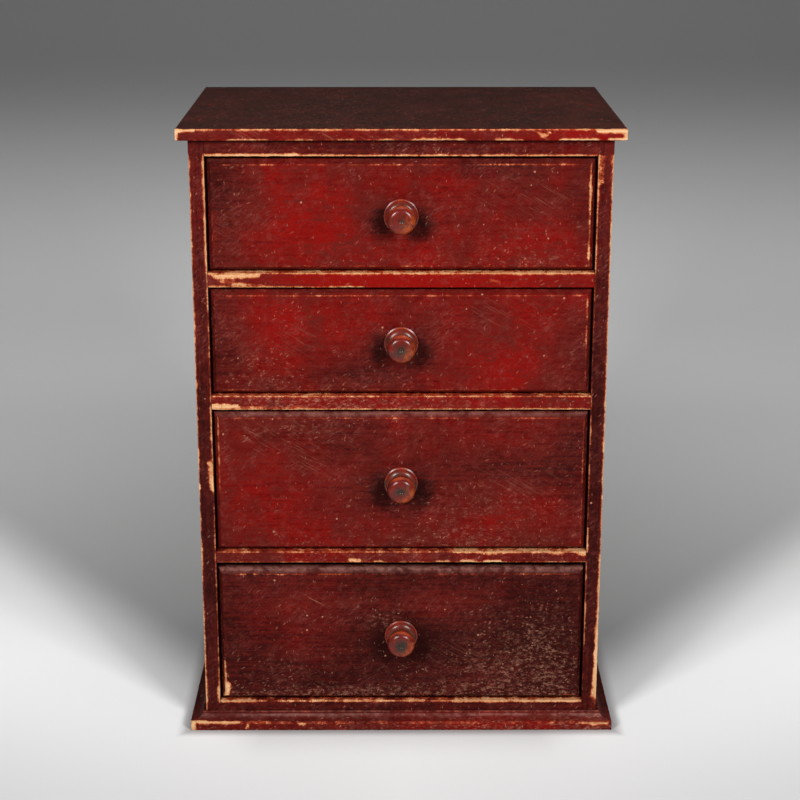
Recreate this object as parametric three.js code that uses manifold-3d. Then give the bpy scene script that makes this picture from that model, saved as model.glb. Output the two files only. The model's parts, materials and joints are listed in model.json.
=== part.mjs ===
// A miniature chest of four long drawers: a tenoned and nailed pine carcass on a mitred base
// moulding, with dovetailed drawers and a turned knob on each.
// Millimetres, +Z up. The front faces -Y and the origin is on the surface that the chest stands on,
// under the middle of its overall length and width.

import * as THREE from "three";
import { mergeVertices } from "three/addons/utils/BufferGeometryUtils.js";
import Module from "manifold-3d";

const manifold = await Module();
manifold.setup();

// ---------------------------------------------------------------- driving dimensions

// Carcass boards
const carcassWidth = 280;
const carcassDepth = 202;
const sideThickness = 10.5;
const topThickness = 7.9;
const topSideOverhang = 7.65;
const topFrontOverhang = 7.75;
const topRearOverhang = 0.5;
const topArris = 0.7;
const backThickness = 4;
const backRebateWidth = 6;
const backBoardCount = 3;
const backBoardGap = 0.6;
const backFootHeight = 3;
const bottomBoardThickness = 6;
const bottomHousingDepth = 4;

// Rails and the strips that the drawers run on
const topRailHeight = 11.2;
const bottomRailHeight = 18.5;
const bottomRailThickness = 10.5;
const railDepth = 30;
const tenonLength = 5;
const tenonHeight = 5;
const tenonSetBack = 5;
const bottomTenonHeight = 10;
const bottomTenonSetBack = 2.7;
const runnerWidth = 13;
const stopSize = { width: 26, depth: 7, height: 3.2 };

// Drawer bays from the top down: the height of the opening, the slack left over the drawer's front,
// and the rail under the opening. The lowest bay stands on the bottom rail.
const bays = [
  { opening: 78, headGap: 2, railBelow: 10.3 },
  { opening: 75.7, headGap: 2.1, railBelow: 10.1 },
  { opening: 103.6, headGap: 2.5, railBelow: 8.4 },
  { opening: 106, headGap: 5.2, railBelow: 0 },
];

// Drawers
const drawerRearGap = 8;
const frontThickness = 11;
const frontSideGap = 1;
const frontFootGap = 1.1;
const frontChamfer = { width: 3, depth: 4.5 };
const drawerSideThickness = 5.5;
const drawerSideDrop = 1.2;
const drawerBackThickness = 5.5;
const drawerBackDrop = 4;
const drawerBackHousing = 1.5;
const panelThickness = 3.5;
const panelHeight = 4.6;
const panelGroove = 2.6;
const runClearance = 0.3;

// Lapped dovetails at the front corners of a drawer
const lapThickness = 1.8;
const tailWidth = 14;
const tailPitch = 31;
const tailSlope = 1 / 6;

// Turned knob: its distances run out from the drawer front
const knobReach = 20;
const knobHeadRadius = 9.6;
const knobNeckRadius = 5.7;
const knobFlangeRadius = 11.6;
const knobFlangeThickness = 2.4;
const knobNeckStart = 3.4;
const knobHeadStart = 12.2;
const knobDimple = { radius: 1.6, depth: 0.6 };
const spigotRadius = 3.6;
const knobSegments = 28;
const knobCurveSteps = 4;

// Base moulding: its profile runs out from the carcass
const mouldingReach = 10.3;
const mouldingHeight = 11.2;
const mouldingArrisHeight = 7.2;
const mouldingArrisWidth = 1;
const mouldingLedge = 2.6;
const mouldingLedgeDrop = 0.9;
const coveSegments = 8;

// Nails that hold the top down
const nailCount = 3;
const nailBehindTenon = 8;
const nailRearMargin = 24;
const nailLength = 20;
const nailRadius = 0.7;
const nailHead = { radius: 1.5, thickness: 0.8, sink: 0.3 };
const nailSegments = 12;

// Clearances
const glueGap = 0.3;
const jointGap = 0.3;
const through = 1;

// ---------------------------------------------------------------- worked-out levels and planes

const halfCarcass = carcassWidth / 2;
const halfOpening = halfCarcass - sideThickness;
const backPlane = carcassDepth - backThickness;

let level = bottomRailHeight;
for (const bay of [...bays].reverse()) {
  bay.floor = level + bay.railBelow;
  bay.ceiling = bay.floor + bay.opening;
  level = bay.ceiling;
}
const topRailUnderside = level;
const topUnderside = topRailUnderside + topRailHeight + glueGap;
const overallFront = Math.max(knobReach, mouldingReach, topFrontOverhang);
const frontPlane = (overallFront - (carcassDepth + topRearOverhang)) / 2;

// ---------------------------------------------------------------- finishes

const finishes = {
  lacquer: { color: 0x7c211b, roughness: 0.32, metalness: 0 },
  topLacquer: { color: 0x3d211c, roughness: 0.28, metalness: 0 },
  knobLacquer: { color: 0x8a2a1c, roughness: 0.22, metalness: 0 },
  pine: { color: 0xa9825a, roughness: 0.75, metalness: 0 },
  iron: { color: 0x4a4541, roughness: 0.6, metalness: 0.8 },
};

// ---------------------------------------------------------------- solids

function solidOf(geometry) {
  const bare = geometry.clone();
  bare.deleteAttribute("normal");
  bare.deleteAttribute("uv");
  const merged = mergeVertices(bare, 1e-4);
  return new manifold.Manifold(
    new manifold.Mesh({
      numProp: 3,
      vertProperties: new Float32Array(merged.attributes.position.array),
      triVerts: new Uint32Array(merged.index.array),
    }),
  );
}

function geometryOf(solid) {
  const mesh = solid.getMesh();
  const geometry = new THREE.BufferGeometry();
  geometry.setAttribute("position", new THREE.BufferAttribute(mesh.vertProperties, 3));
  geometry.setIndex(new THREE.BufferAttribute(mesh.triVerts, 1));
  geometry.computeVertexNormals();
  return geometry;
}

// A box given by its lowest and highest corners.
function boxGeometry([x0, y0, z0], [x1, y1, z1]) {
  const geometry = new THREE.BoxGeometry(x1 - x0, y1 - y0, z1 - z0);
  return geometry.translate((x0 + x1) / 2, (y0 + y1) / 2, (z0 + z1) / 2);
}

function boxSolid(low, high) {
  return solidOf(boxGeometry(low, high));
}

// An outline in the Y-Z plane, extruded along X from x0 to x1.
function extrudeAlongX(points, x0, x1) {
  const shape = new THREE.Shape(points.map(([y, z]) => new THREE.Vector2(y, z)));
  const geometry = new THREE.ExtrudeGeometry(shape, { depth: x1 - x0, bevelEnabled: false });
  const axes = new THREE.Matrix4().makeBasis(
    new THREE.Vector3(0, 1, 0),
    new THREE.Vector3(0, 0, 1),
    new THREE.Vector3(1, 0, 0),
  );
  return geometry.applyMatrix4(axes).translate(x0, 0, 0);
}

// Mirrors a pair of x limits to the left of the middle when side is -1.
function across(side, inner, outer) {
  return side < 0 ? [-outer, -inner] : [inner, outer];
}

function subtractAll(solid, cuts) {
  return cuts.reduce((left, cut) => left.subtract(cut), solid);
}

// A named mesh whose geometry is centred on itself and whose position puts it in place.
function piece(name, shape, finish) {
  const geometry = shape.isBufferGeometry ? shape : geometryOf(shape);
  geometry.computeBoundingBox();
  const centre = geometry.boundingBox.getCenter(new THREE.Vector3());
  geometry.translate(-centre.x, -centre.y, -centre.z);
  const mesh = new THREE.Mesh(geometry, new THREE.MeshStandardMaterial(finishes[finish]));
  mesh.name = name;
  mesh.position.copy(centre);
  return mesh;
}

// ---------------------------------------------------------------- carcass

// A nail standing on +Z with the top of its head at the origin, grown all round by a gap.
function nailGeometry(gap) {
  const shank = nailRadius + gap;
  const head = nailHead.radius + gap;
  const headFoot = -nailHead.thickness - gap;
  const top = gap > 0 ? nailHead.sink + through : 0;
  const outline = [
    [0, -nailLength - gap],
    [shank, -nailLength - gap],
    [shank, headFoot],
    [head, headFoot],
    [head, top],
    [0, top],
  ];
  const profile = outline.map(([radius, height]) => new THREE.Vector2(radius, height));
  return new THREE.LatheGeometry(profile, nailSegments).rotateX(Math.PI / 2);
}

const nailPlaces = [-1, 1].flatMap((side) =>
  Array.from({ length: nailCount }, (_, index) => {
    const first = railDepth - tenonSetBack + nailBehindTenon;
    const span = carcassDepth - nailRearMargin - first;
    return {
      side,
      x: side * (halfCarcass - sideThickness / 2),
      y: first + (span * index) / (nailCount - 1),
      z: topUnderside + topThickness - nailHead.sink,
    };
  }),
);

function nailHole({ x, y, z }) {
  return solidOf(nailGeometry(jointGap).translate(x, y, z));
}

function topBoard() {
  const width = carcassWidth + 2 * topSideOverhang;
  const depth = carcassDepth + topFrontOverhang + topRearOverhang;
  const shape = new THREE.Shape();
  shape.moveTo(topArris - width / 2, topArris);
  shape.lineTo(width / 2 - topArris, topArris);
  shape.lineTo(width / 2 - topArris, depth - topArris);
  shape.lineTo(topArris - width / 2, depth - topArris);
  const slab = new THREE.ExtrudeGeometry(shape, {
    depth: topThickness - 2 * topArris,
    bevelSize: topArris,
    bevelThickness: topArris,
    bevelSegments: 1,
  });
  slab.translate(0, -topFrontOverhang, topUnderside + topArris);
  return subtractAll(solidOf(slab), nailPlaces.map(nailHole));
}

// The rails that run between the sides, each with a stub tenon into either side.
const rails = [
  {
    name: "top_rail",
    z0: topRailUnderside,
    z1: topRailUnderside + topRailHeight,
    depth: railDepth,
    tenonHeight,
    setBack: tenonSetBack,
  },
  ...bays.slice(0, -1).map((bay, index) => ({
    name: "divider_rail_" + (index + 1),
    z0: bay.floor - bay.railBelow,
    z1: bay.floor,
    depth: railDepth,
    tenonHeight,
    setBack: tenonSetBack,
  })),
  {
    name: "bottom_rail",
    z0: 0,
    z1: bottomRailHeight,
    depth: bottomRailThickness,
    tenonHeight: bottomTenonHeight,
    setBack: bottomTenonSetBack,
  },
];

function tenonBox(rail, side, gap) {
  const middle = (rail.z0 + rail.z1) / 2;
  const [x0, x1] = across(side, halfOpening - through, halfOpening + tenonLength + gap);
  const y0 = rail.setBack - gap;
  const y1 = rail.depth - rail.setBack + gap;
  const half = rail.tenonHeight / 2 + gap;
  return boxSolid([x0, y0, middle - half], [x1, y1, middle + half]);
}

function railSolid(rail) {
  const reach = halfOpening - glueGap;
  const bar = boxSolid([-reach, 0, rail.z0], [reach, rail.depth, rail.z1]);
  return bar.add(tenonBox(rail, -1, 0)).add(tenonBox(rail, 1, 0));
}

const bottomBoardTop = bottomRailHeight;
const bottomBoardFoot = bottomBoardTop - bottomBoardThickness;
const bottomBoardFront = bottomRailThickness + glueGap;

function bottomBoard() {
  const reach = halfOpening + bottomHousingDepth - jointGap;
  return boxGeometry(
    [-reach, bottomBoardFront, bottomBoardFoot],
    [reach, backPlane - glueGap, bottomBoardTop],
  );
}

function carcassSide(side) {
  const [x0, x1] = across(side, halfOpening, halfCarcass);
  const board = boxSolid([x0, 0, 0], [x1, carcassDepth, topUnderside - glueGap]);
  const [r0, r1] = across(side, halfOpening - through, halfOpening + backRebateWidth);
  const rebate = boxSolid(
    [r0, backPlane - jointGap, -through],
    [r1, carcassDepth + through, topUnderside + through],
  );
  const [h0, h1] = across(side, halfOpening - through, halfOpening + bottomHousingDepth);
  const housing = boxSolid(
    [h0, bottomBoardFront - jointGap, bottomBoardFoot - jointGap],
    [h1, carcassDepth + through, bottomBoardTop + jointGap],
  );
  return subtractAll(board, [
    rebate,
    housing,
    ...rails.map((rail) => tenonBox(rail, side, jointGap)),
    ...nailPlaces.filter((place) => place.side === side).map(nailHole),
  ]);
}

function backBoards() {
  const names = ["lower", "middle", "upper"];
  const reach = halfOpening + backRebateWidth - jointGap;
  const foot = backFootHeight;
  const head = topUnderside - glueGap;
  const height = (head - foot - backBoardGap * (backBoardCount - 1)) / backBoardCount;
  return Array.from({ length: backBoardCount }, (_, index) => {
    const z0 = foot + index * (height + backBoardGap);
    const board = boxGeometry([-reach, backPlane, z0], [reach, carcassDepth, z0 + height]);
    return piece("back_board_" + names[index], board, "pine");
  });
}

// The strips along a side behind a rail. Under a drawer they carry it, over it they keep it level.
function runner(name, side, z0, z1) {
  const [x0, x1] = across(side, halfOpening - glueGap - runnerWidth, halfOpening - glueGap);
  const strip = boxGeometry([x0, railDepth + glueGap, z0], [x1, backPlane - glueGap, z1]);
  return piece(name, strip, "pine");
}

function drawerStop(index) {
  const floor = bays[index].floor;
  const front = frontThickness + glueGap;
  const block = boxGeometry(
    [-stopSize.width / 2, front, floor + glueGap],
    [stopSize.width / 2, front + stopSize.depth, floor + stopSize.height],
  );
  return piece("drawer_stop_" + (index + 1), block, "pine");
}

// ---------------------------------------------------------------- base moulding

function mouldingProfile() {
  const shape = new THREE.Shape();
  const coveOuter = mouldingReach - mouldingArrisWidth;
  const coveTop = mouldingHeight - mouldingLedgeDrop;
  shape.moveTo(glueGap, 0);
  shape.lineTo(mouldingReach, 0);
  shape.lineTo(mouldingReach, mouldingArrisHeight);
  shape.lineTo(coveOuter, mouldingArrisHeight);
  shape.absellipse(
    coveOuter,
    coveTop,
    coveOuter - mouldingLedge,
    coveTop - mouldingArrisHeight,
    -Math.PI / 2,
    -Math.PI,
    true,
  );
  shape.lineTo(mouldingLedge, mouldingHeight);
  shape.lineTo(glueGap, mouldingHeight);
  return shape;
}

// A length of moulding along +X with its back on the X axis and its face towards -Y. At a mitred
// end, every point moves out as far as it stands from the carcass.
function mouldingLength(length, mitreStart, mitreEnd) {
  const geometry = new THREE.ExtrudeGeometry(mouldingProfile(), {
    depth: length,
    bevelEnabled: false,
    curveSegments: coveSegments,
  });
  const axes = new THREE.Matrix4().makeBasis(
    new THREE.Vector3(0, -1, 0),
    new THREE.Vector3(0, 0, 1),
    new THREE.Vector3(-1, 0, 0),
  );
  geometry.applyMatrix4(axes).translate(length, 0, 0);
  const position = geometry.attributes.position;
  for (let i = 0; i < position.count; i += 1) {
    const out = -position.getY(i);
    if (mitreStart && position.getX(i) < length / 2) {
      position.setX(i, jointGap / 2 - out);
    }
    if (mitreEnd && position.getX(i) > length / 2) {
      position.setX(i, length - jointGap / 2 + out);
    }
  }
  return geometry;
}

function baseMouldings() {
  const front = mouldingLength(carcassWidth, true, true).translate(-halfCarcass, 0, 0);
  const right = mouldingLength(carcassDepth, true, false).rotateZ(Math.PI / 2);
  const left = mouldingLength(carcassDepth, false, true).rotateZ(-Math.PI / 2);
  return [
    piece("base_moulding_front", front, "lacquer"),
    piece("base_moulding_right", right.translate(halfCarcass, 0, 0), "lacquer"),
    piece("base_moulding_left", left.translate(-halfCarcass, carcassDepth, 0), "lacquer"),
  ];
}

function carcass() {
  const group = new THREE.Group();
  group.add(
    piece("top_board", topBoard(), "topLacquer"),
    piece("side_left", carcassSide(-1), "lacquer"),
    piece("side_right", carcassSide(1), "lacquer"),
    ...rails.map((rail) => piece(rail.name, railSolid(rail), "lacquer")),
    piece("bottom_board", bottomBoard(), "pine"),
    ...backBoards(),
    ...baseMouldings(),
    ...bays.map((_, index) => drawerStop(index)),
  );
  for (const [side, word] of [
    [-1, "left"],
    [1, "right"],
  ]) {
    group.add(runner("kicker_" + word, side, topRailUnderside, topRailUnderside + topRailHeight));
    bays.slice(0, -1).forEach((bay, index) => {
      const name = "runner_" + word + "_" + (index + 1);
      group.add(runner(name, side, bay.floor - bay.railBelow, bay.floor));
    });
  }
  nailPlaces.forEach(({ x, y, z }, index) => {
    group.add(piece("top_nail_" + (index + 1), nailGeometry(0).translate(x, y, z), "iron"));
  });
  return group;
}

// ---------------------------------------------------------------- drawers

// Each drawer is drawn with the floor of its opening at z = 0.
const halfDrawer = halfOpening - frontSideGap;
const halfInside = halfDrawer - drawerSideThickness;
const sideStart = frontThickness + jointGap;
const drawerEnd = backPlane - drawerRearGap;
const backStart = drawerEnd - 2 * drawerBackThickness;
const sideFoot = runClearance;
const panelFoot = sideFoot + panelHeight;
const panelTop = panelFoot + panelThickness;
const grooveReach = halfInside + panelGroove;

function frontHead(bay) {
  return bay.opening - bay.headGap;
}

function sideHead(bay) {
  return frontHead(bay) - drawerSideDrop;
}

// The wedge-shaped tails on the front end of a drawer side, or with a gap the sockets they fill.
function tails(bay, side, gap) {
  const foot = frontFootGap;
  const span = sideHead(bay) - foot;
  const count = Math.max(2, Math.round(span / tailPitch));
  const [x0, x1] = across(side, halfInside - gap, halfDrawer + (gap > 0 ? through : 0));
  const tip = frontChamfer.depth + lapThickness - gap;
  const root = gap > 0 ? frontThickness + through : sideStart + through;
  const wide = tailWidth / 2 + gap;
  const narrow = wide - tailSlope * (root - tip);
  return Array.from({ length: count }, (_, index) => {
    const middle = foot + (span * (index + 0.5)) / count;
    const outline = [
      [tip, middle - wide],
      [root, middle - narrow],
      [root, middle + narrow],
      [tip, middle + wide],
    ];
    return solidOf(extrudeAlongX(outline, x0, x1));
  });
}

function drawerFront(bay) {
  const height = frontHead(bay) - frontFootGap;
  const flatWidth = 2 * (halfDrawer - frontChamfer.width);
  const flatHeight = height - 2 * frontChamfer.width;
  const shape = new THREE.Shape();
  shape.moveTo(-flatWidth / 2, -flatHeight / 2);
  shape.lineTo(flatWidth / 2, -flatHeight / 2);
  shape.lineTo(flatWidth / 2, flatHeight / 2);
  shape.lineTo(-flatWidth / 2, flatHeight / 2);
  const chamfered = new THREE.ExtrudeGeometry(shape, {
    depth: frontThickness,
    bevelSize: frontChamfer.width,
    bevelThickness: frontChamfer.depth,
    bevelSegments: 1,
  });
  chamfered.rotateX(Math.PI / 2);
  const front = frontThickness + frontChamfer.depth;
  chamfered.translate(0, front, frontFootGap + height / 2);
  const beyond = halfDrawer + through;
  const rearHalf = boxSolid(
    [-beyond, frontThickness, -through],
    [beyond, front + frontChamfer.depth + through, bay.opening],
  );
  const groove = boxSolid(
    [-grooveReach, frontThickness - panelGroove, panelFoot - jointGap],
    [grooveReach, frontThickness + through, panelTop + jointGap],
  );
  const bore = new THREE.CylinderGeometry(
    spigotRadius + jointGap,
    spigotRadius + jointGap,
    2 * front,
    knobSegments,
  );
  bore.translate(0, 0, (frontHead(bay) + frontFootGap) / 2);
  return subtractAll(solidOf(chamfered), [
    rearHalf,
    groove,
    solidOf(bore),
    ...tails(bay, -1, jointGap),
    ...tails(bay, 1, jointGap),
  ]);
}

function drawerSide(bay, side) {
  const [x0, x1] = across(side, halfInside, halfDrawer);
  const board = boxSolid([x0, sideStart, sideFoot], [x1, drawerEnd, sideHead(bay)]);
  const joined = tails(bay, side, 0).reduce((left, tail) => left.add(tail), board);
  const [g0, g1] = across(side, halfInside - through, grooveReach);
  const groove = boxSolid(
    [g0, 0, panelFoot - jointGap],
    [g1, drawerEnd + through, panelTop + jointGap],
  );
  const [b0, b1] = across(side, halfInside - through, halfInside + drawerBackHousing);
  const housing = boxSolid(
    [b0, backStart - jointGap, panelTop],
    [b1, backStart + drawerBackThickness + jointGap, bay.opening],
  );
  return subtractAll(joined, [groove, housing]);
}

function drawerBack(bay) {
  const reach = halfInside + drawerBackHousing - jointGap;
  return boxGeometry(
    [-reach, backStart, panelTop + glueGap],
    [reach, backStart + drawerBackThickness, sideHead(bay) - drawerBackDrop],
  );
}

function drawerPanel() {
  const reach = grooveReach - jointGap;
  return boxGeometry(
    [-reach, frontThickness - panelGroove + jointGap, panelFoot],
    [reach, drawerEnd, panelTop],
  );
}

// The knob is turned about its own axis, from the end of its spigot to the middle of its face.
function knobGeometry() {
  const profile = new THREE.Path();
  const flangeFace = glueGap + knobFlangeThickness;
  const rim = knobFlangeThickness / 2;
  const shoulder = (knobHeadStart + knobReach) / 2;
  profile.moveTo(0, jointGap - frontThickness);
  profile.lineTo(spigotRadius, jointGap - frontThickness);
  profile.lineTo(spigotRadius, glueGap);
  profile.lineTo(knobFlangeRadius - rim, glueGap);
  profile.absarc(knobFlangeRadius - rim, glueGap + rim, rim, -Math.PI / 2, Math.PI / 2, false);
  profile.lineTo(knobFlangeRadius - 2 * rim, knobNeckStart);
  profile.bezierCurveTo(
    knobNeckRadius,
    flangeFace + rim,
    knobNeckRadius - rim,
    knobHeadStart - rim,
    knobHeadRadius - rim,
    knobHeadStart + rim / 2,
  );
  profile.quadraticCurveTo(knobHeadRadius, knobHeadStart + rim, knobHeadRadius, shoulder - rim);
  profile.bezierCurveTo(
    knobHeadRadius,
    knobReach - 2 * rim,
    knobHeadRadius / 2 + rim,
    knobReach,
    knobDimple.radius,
    knobReach,
  );
  profile.lineTo(0, knobReach - knobDimple.depth);
  return new THREE.LatheGeometry(profile.getPoints(knobCurveSteps), knobSegments).rotateX(Math.PI);
}

function drawer(bay, index) {
  const name = "drawer_" + (index + 1);
  const group = new THREE.Group();
  const knob = knobGeometry().translate(0, 0, (frontHead(bay) + frontFootGap) / 2);
  group.add(
    piece(name + "_front", drawerFront(bay), "lacquer"),
    piece(name + "_side_left", drawerSide(bay, -1), "pine"),
    piece(name + "_side_right", drawerSide(bay, 1), "pine"),
    piece(name + "_back", drawerBack(bay), "pine"),
    piece(name + "_bottom", drawerPanel(), "pine"),
    piece(name + "_knob", knob, "knobLacquer"),
  );
  group.position.z = bay.floor;
  return group;
}

// ---------------------------------------------------------------- the chest

const chest = new THREE.Group();
const assembly = new THREE.Group();
assembly.add(carcass(), ...bays.map(drawer));
assembly.position.y = frontPlane;
chest.add(assembly);

export default chest;
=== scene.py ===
import json
import math

import bmesh
import bpy
import numpy as np
from mathutils import Matrix, Vector, noise


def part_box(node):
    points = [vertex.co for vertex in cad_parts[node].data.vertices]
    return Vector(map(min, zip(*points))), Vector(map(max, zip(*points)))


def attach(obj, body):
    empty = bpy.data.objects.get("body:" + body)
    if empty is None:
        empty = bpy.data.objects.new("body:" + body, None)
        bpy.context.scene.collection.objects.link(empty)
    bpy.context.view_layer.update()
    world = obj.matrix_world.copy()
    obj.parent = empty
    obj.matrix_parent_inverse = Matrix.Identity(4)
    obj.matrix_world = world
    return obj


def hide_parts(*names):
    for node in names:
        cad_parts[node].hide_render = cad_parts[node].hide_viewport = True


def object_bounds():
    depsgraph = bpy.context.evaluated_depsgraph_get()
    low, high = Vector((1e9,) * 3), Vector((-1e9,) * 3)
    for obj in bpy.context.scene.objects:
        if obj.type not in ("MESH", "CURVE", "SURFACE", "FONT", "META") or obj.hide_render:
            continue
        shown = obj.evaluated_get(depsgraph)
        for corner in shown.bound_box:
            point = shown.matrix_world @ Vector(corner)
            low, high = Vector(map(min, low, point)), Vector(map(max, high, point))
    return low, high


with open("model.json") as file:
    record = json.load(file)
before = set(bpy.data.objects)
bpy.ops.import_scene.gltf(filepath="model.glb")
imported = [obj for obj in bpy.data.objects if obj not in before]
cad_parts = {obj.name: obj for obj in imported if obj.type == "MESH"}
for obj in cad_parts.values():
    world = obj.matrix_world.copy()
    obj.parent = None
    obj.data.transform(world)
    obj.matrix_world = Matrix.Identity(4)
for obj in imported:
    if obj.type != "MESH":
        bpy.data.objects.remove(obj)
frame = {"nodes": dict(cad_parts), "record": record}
CAD_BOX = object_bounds()

bl_info = {
    "name": "Miniature chest of drawers",
    "version": (1, 0, 0),
    "blender": (4, 5, 0),
    "location": "View3D > Sidebar > Chest",
    "description": "Finishes the boards, drawers, mouldings and knobs of a worn red lacquered chest",
    "category": "Object",
}

MM = 0.001
WELD = 0.01 * MM

# Faces that meet at less than FLAT become one, edges past SHARP count as arrises, and shading runs
# smoothly over an edge up to SMOOTH_UP_TO.
FLAT = math.radians(0.5)
SHARP = math.radians(22)
SMOOTH_UP_TO = math.radians(38)

# The shortest edges that are worked on a lacquered board and on a bare one.
SHORT_EDGE = 2 * MM
SHORT_PINE_EDGE = 4 * MM

RECORD = frame["record"]
BODIES = RECORD["behaviour"]["bodies"]
BODY_OF = {node: body for body, nodes in BODIES.items() for node in nodes}
SLOT_OF = {part["node"]: part["material_slot"] for part in RECORD["subparts"]}
DRAWERS = sorted(body for body in BODIES if body.startswith("drawer"))
RAILS = ["top_rail", "divider_rail_1", "divider_rail_2", "divider_rail_3", "bottom_rail"]
MOULDINGS = ["base_moulding_front", "base_moulding_left", "base_moulding_right"]
CASE_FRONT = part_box("side_left")[0].y
CASE_FOOT = CAD_BOX[0].z
CASE_HEAD = CAD_BOX[1].z
SIDE_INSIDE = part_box("side_right")[0].x
MOULDING_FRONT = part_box("base_moulding_front")[0].y

# How far a rail's end is drawn over the glue line, and how far the painted contact shadow on the
# paper reaches past the foot.
GLUE_LINE = 0.25 * MM
CONTACT_SHADOW_REACH = 11 * MM

# How deep behind a front its tones and specks fade out, and the same for the top board.
FADE = 15 * MM
TOP_FADE = 400 * MM

# How far a nail head's corners are rounded.
NAIL_ARRIS = 0.12 * MM

# How deep the relief of each finish is.
BOARD_RELIEF = 0.12 * MM
KNOB_RELIEF = 0.06 * MM
IRON_RELIEF = 0.1 * MM
PAPER_RELIEF = 0.05 * MM


# ---------------------------------------------------------------- settings


def length(name, description, millimetres):
    """A size that a user can change, kept in metres."""
    return bpy.props.FloatProperty(
        name=name,
        description=description,
        default=millimetres * MM,
        min=0,
        precision=5,
        subtype="DISTANCE",
        unit="LENGTH",
    )


def colour(name, description, rgb):
    """A colour that a user can change."""
    return bpy.props.FloatVectorProperty(
        name=name, description=description, default=rgb, size=3, min=0, max=1, subtype="COLOR"
    )


class ChestSizes(bpy.types.PropertyGroup):
    arris: length("Arris", "How far the sharp corners of the lacquered boards are eased", 0.45)
    pine_arris: length("Bare arris", "How far the corners of the bare pine boards are eased", 0.3)
    dent: length("Dent", "How deep a rubbed arris is worn away", 0.45)
    unevenness: length("Unevenness", "How far a hand-planed face wanders", 0.09)
    fine_step: length("Fine step", "Spacing of the cuts across narrow fronts", 1.6)
    face_step: length("Face step", "Spacing of the cuts across drawer faces", 2.6)
    broad_step: length("Broad step", "Spacing of the cuts across the case sides and top", 4.5)
    edge_strip: length("Edge strip", "Width of the strip of mesh beside each arris", 0.9)
    flange_lip: length("Flange lip", "Radius of the rounded rim of a knob's flange", 1.1)
    knob_steps: bpy.props.IntProperty(
        name="Knob steps", description="Facets round a turned knob", default=72, min=24
    )


class ChestColours(bpy.types.PropertyGroup):
    red: colour("Red", "Lacquer where it is cleanest", (0.168, 0.0024, 0.0014))
    brown: colour("Brown", "Lacquer under old polish and dirt", (0.082, 0.0066, 0.0046))
    shade: colour("Shade", "Darkest lacquer, in the hollows and at the foot", (0.017, 0.002, 0.0017))
    haze: colour("Haze", "Bloomed, purplish varnish", (0.16, 0.034, 0.027))
    # The next colour is grey dirt on ledges, and also painted sheen where chamfers and ledges face up.
    dust_and_sheen: colour("Dust", "Grey dirt on ledges that face up", (0.22, 0.095, 0.078))
    thin: colour("Thin", "Lacquer worn so thin that the wood glows through", (0.32, 0.048, 0.016))
    scuff: colour("Scuff", "Flecks and scratches in the varnish", (0.37, 0.165, 0.105))
    bare: colour("Bare wood", "Stained wood where the lacquer is gone", (0.4, 0.165, 0.068))
    cream: colour("Cream wood", "Clean wood at the hardest worn arrises", (0.55, 0.33, 0.17))
    top_red: colour("Top red", "Warm patches of the top board", (0.06, 0.0135, 0.0075))
    top_brown: colour("Top brown", "Body of the top board's finish", (0.026, 0.0094, 0.006))
    knob: colour("Knob", "Varnish of the knobs", (0.12, 0.0065, 0.0035))
    knob_glow: colour("Knob glow", "Thin varnish on the knobs", (0.27, 0.042, 0.005))
    # Knob dark also stands for painted shade in the knob's neck.
    knob_dark: colour("Knob dark", "Dirt in the turned hollows of the knobs", (0.022, 0.0115, 0.007))
    pine: colour("Pine", "Bare pine inside the chest", (0.56, 0.33, 0.16))
    pine_dark: colour("Pine dark", "Late growth lines and age in the pine", (0.33, 0.16, 0.065))
    iron: colour("Iron", "Sunk nail heads", (0.035, 0.026, 0.022))
    # Paper colours: a painted pool of light, painted shade near, far and up the curve, a painted
    # contact shadow.
    floor: colour("Floor", "Studio floor beside the chest", (0.9, 0.9, 0.9))
    shadow: colour("Shadow", "Paper close round the foot of the chest", (0.12, 0.1, 0.095))
    near_floor_painted_shade: colour("Near floor", "Studio floor towards the camera", (0.54, 0.54, 0.54))
    far_floor_painted_shade: colour("Far floor", "Paper just behind the chest", (0.33, 0.33, 0.33))
    wall_painted_shade: colour("Wall", "Paper where it has curved up", (0.17, 0.17, 0.17))


class ChestStudio(bpy.types.PropertyGroup):
    lens: bpy.props.FloatProperty(
        name="Lens", description="Focal length of the camera", default=84.05, unit="CAMERA"
    )
    eye: bpy.props.FloatVectorProperty(
        name="Eye",
        description="Where the camera stands",
        default=(-0.00407, -1.31035, 0.6144),
        subtype="XYZ",
        unit="LENGTH",
    )
    pitch: bpy.props.FloatProperty(
        name="Pitch", description="How far the camera looks down", default=0.2952, unit="ROTATION"
    )
    yaw: bpy.props.FloatProperty(
        name="Yaw", description="How far the camera turns to the right", default=0.0027, unit="ROTATION"
    )
    box_power: bpy.props.FloatProperty(
        name="Softbox power", description="Each front softbox", default=19, unit="POWER"
    )
    sky_power: bpy.props.FloatProperty(
        name="Overhead power", description="The wide light overhead", default=7.5, unit="POWER"
    )
    fill: bpy.props.FloatProperty(
        name="Fill",
        description="Brightness of the room all round",
        default=0.09,
        min=0,
        max=1,
        subtype="FACTOR",
    )


# ---------------------------------------------------------------- shader expressions


class Wire:
    """One output in a paint's node tree. Arithmetic on it adds Math nodes."""

    def __init__(self, paint, socket):
        self.paint = paint
        self.socket = socket

    def __add__(self, other):
        return self.paint.math("ADD", self, other)

    def __sub__(self, other):
        return self.paint.math("SUBTRACT", self, other)

    def __rsub__(self, other):
        return self.paint.math("SUBTRACT", other, self)

    def __mul__(self, other):
        return self.paint.math("MULTIPLY", self, other)

    __radd__ = __add__
    __rmul__ = __mul__


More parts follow.
